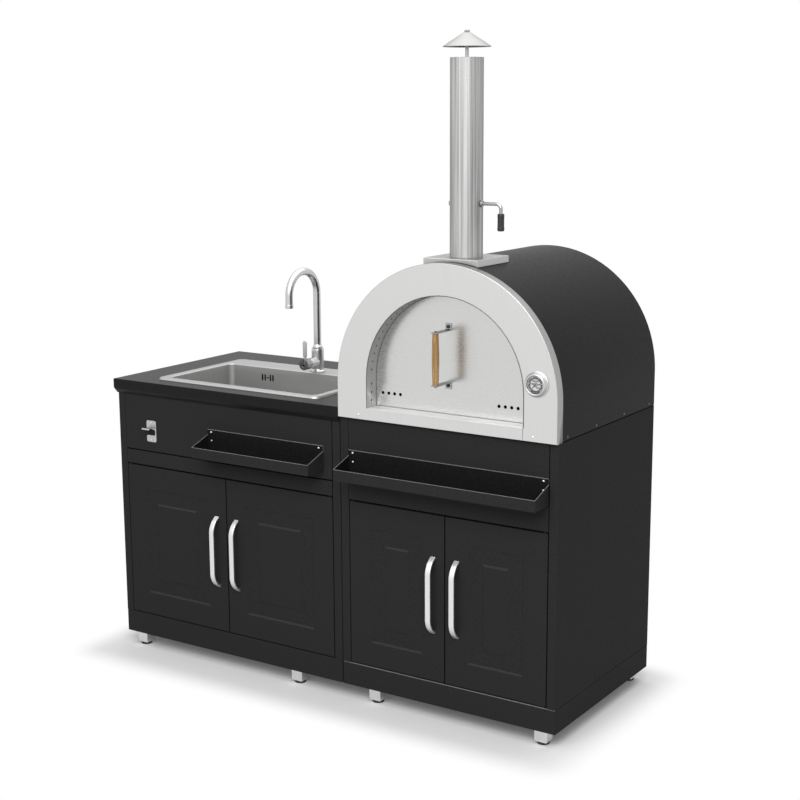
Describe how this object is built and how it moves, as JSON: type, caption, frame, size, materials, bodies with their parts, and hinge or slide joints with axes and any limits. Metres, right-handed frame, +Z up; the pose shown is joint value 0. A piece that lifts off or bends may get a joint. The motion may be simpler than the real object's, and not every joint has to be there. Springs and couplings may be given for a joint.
{
  "type": "outdoor kitchen with pizza oven",
  "caption": "Free-standing outdoor kitchen: a cupboard with a drop-in sink and swivel tap beside a cupboard that carries an arched wood-fired pizza oven with flue and damper.",
  "frame": {"origin": "on the floor, under the middle of the box that holds the whole kitchen", "axes": "+X from the sink unit to the oven unit, +Y from the doors to the back, +Z up"},
  "size_m": [1.61, 0.71, 1.964],
  "materials": {
    "black_coat": "fine textured black powder coat on folded steel sheet",
    "worktop_coat": "satin dark coat on pressed steel",
    "stainless": "brushed stainless steel",
    "chrome": "polished chrome plate",
    "brass": "turned brass",
    "wood_grip": "oiled hardwood",
    "black_plastic": "matt heat-proof plastic",
    "dial_enamel": "pale enamel with dark marks",
    "needle_paint": "black paint",
    "lens_glass": "clear glass",
    "rubber": "black rubber",
    "insulating_board": "matt calcium silicate board",
    "fire_stone": "matt fired clay",
    "fibre_blanket": "ceramic fibre blanket"
  },
  "bodies": {
    "kitchen": {"sink_base": "black_coat", "sink_side_panels": "black_coat", "sink_back_panel": "black_coat", "sink_rail": "black_coat", "sink_apron": "black_coat", "worktop": "worktop_coat", "sink_bowl": "stainless", "drain_cup": "stainless", "drain_nut": "stainless", "tap_body": "chrome", "tap_nut": "brass", "sink_tray": "black_coat", "bottle_opener": "chrome", "oven_base": "black_coat", "oven_side_panels": "black_coat", "oven_back_panel": "black_coat", "oven_tray_panel": "black_coat", "oven_fascia": "black_coat", "oven_deck": "black_coat", "oven_tray": "black_coat", "hearth_board": "insulating_board", "hearth_stones": "fire_stone", "oven_chamber": "stainless", "insulation_blanket": "fibre_blanket", "oven_hood": "black_coat", "hood_rear": "black_coat", "oven_face": "stainless", "oven_throat": "stainless", "chimney_base": "stainless", "chimney_pipe": "stainless", "rain_cap": "stainless", "cap_stem": "stainless", "thermometer_case": "chrome", "thermometer_dial": "dial_enamel", "thermometer_lens": "lens_glass", "feet": "chrome", "foot_pads": "rubber", "hinge_pins": "stainless", "panel_screws": "chrome"},
    "sink_left_door": {"sink_left_door": "black_coat", "sink_left_handle": "stainless"},
    "sink_right_door": {"sink_right_door": "black_coat", "sink_right_handle": "stainless"},
    "oven_left_door": {"oven_left_door": "black_coat", "oven_left_handle": "stainless"},
    "oven_right_door": {"oven_right_door": "black_coat", "oven_right_handle": "stainless"},
    "oven_door": {"oven_door": "stainless", "oven_door_liner": "stainless", "oven_door_brackets": "stainless", "oven_door_grip": "wood_grip"},
    "damper": {"damper": "stainless", "damper_grip": "black_plastic"},
    "thermometer_needle": {"thermometer_needle": "needle_paint"},
    "tap_spout": {"tap_spout": "chrome", "tap_aerator": "chrome"},
    "tap_cap": {"tap_cap": "chrome"},
    "tap_lever": {"tap_lever": "chrome"},
    "strainer_basket": {"strainer_basket": "stainless"}
  },
  "joints": [
    {"name": "sink_left_door_hinge", "type": "hinge", "parent": "kitchen", "child": "sink_left_door", "pos_m": [-0.7545, -0.27, 0.37], "axis": [0, 0, -1], "range_deg": [0, 105]},
    {"name": "sink_right_door_hinge", "type": "hinge", "parent": "kitchen", "child": "sink_right_door", "pos_m": [0.0445, -0.27, 0.37], "axis": [0, 0, 1], "range_deg": [0, 90]},
    {"name": "oven_left_door_hinge", "type": "hinge", "parent": "kitchen", "child": "oven_left_door", "pos_m": [0.1275, -0.27, 0.37], "axis": [0, 0, -1], "range_deg": [0, 90]},
    {"name": "oven_right_door_hinge", "type": "hinge", "parent": "kitchen", "child": "oven_right_door", "pos_m": [0.7645, -0.27, 0.37], "axis": [0, 0, 1], "range_deg": [0, 105]},
    {"name": "oven_door_lift_out", "type": "slide", "parent": "kitchen", "child": "oven_door", "axis": [0, -1, 0], "range_m": [0, 0.3]},
    {"name": "damper_turn", "type": "hinge", "parent": "kitchen", "child": "damper", "pos_m": [0.446, -0.16, 1.495], "axis": [-1, 0, 0], "range_deg": [0, 90]},
    {"name": "thermometer_needle_turn", "type": "hinge", "parent": "kitchen", "child": "thermometer_needle", "pos_m": [0.741, -0.287, 1.031], "axis": [0, 1, 0], "range_deg": [0, 270]},
    {"name": "tap_spout_swivel", "type": "hinge", "parent": "kitchen", "child": "tap_spout", "pos_m": [-0.3, 0.145, 0.983], "axis": [0, 0, 1], "range_deg": [-60, 60]},
    {"name": "tap_temperature_turn", "type": "hinge", "parent": "kitchen", "child": "tap_cap", "pos_m": [-0.3, 0.0925, 0.938], "axis": [0, 1, 0], "range_deg": [-40, 40]},
    {"name": "tap_flow_tilt", "type": "hinge", "parent": "tap_cap", "child": "tap_lever", "pos_m": [-0.3, 0.0755, 0.938], "axis": [1, 0, 0], "range_deg": [0, 25]},
    {"name": "strainer_lift", "type": "slide", "parent": "kitchen", "child": "strainer_basket", "axis": [0, 0, 1], "range_m": [0, 0.12]}
  ]
}
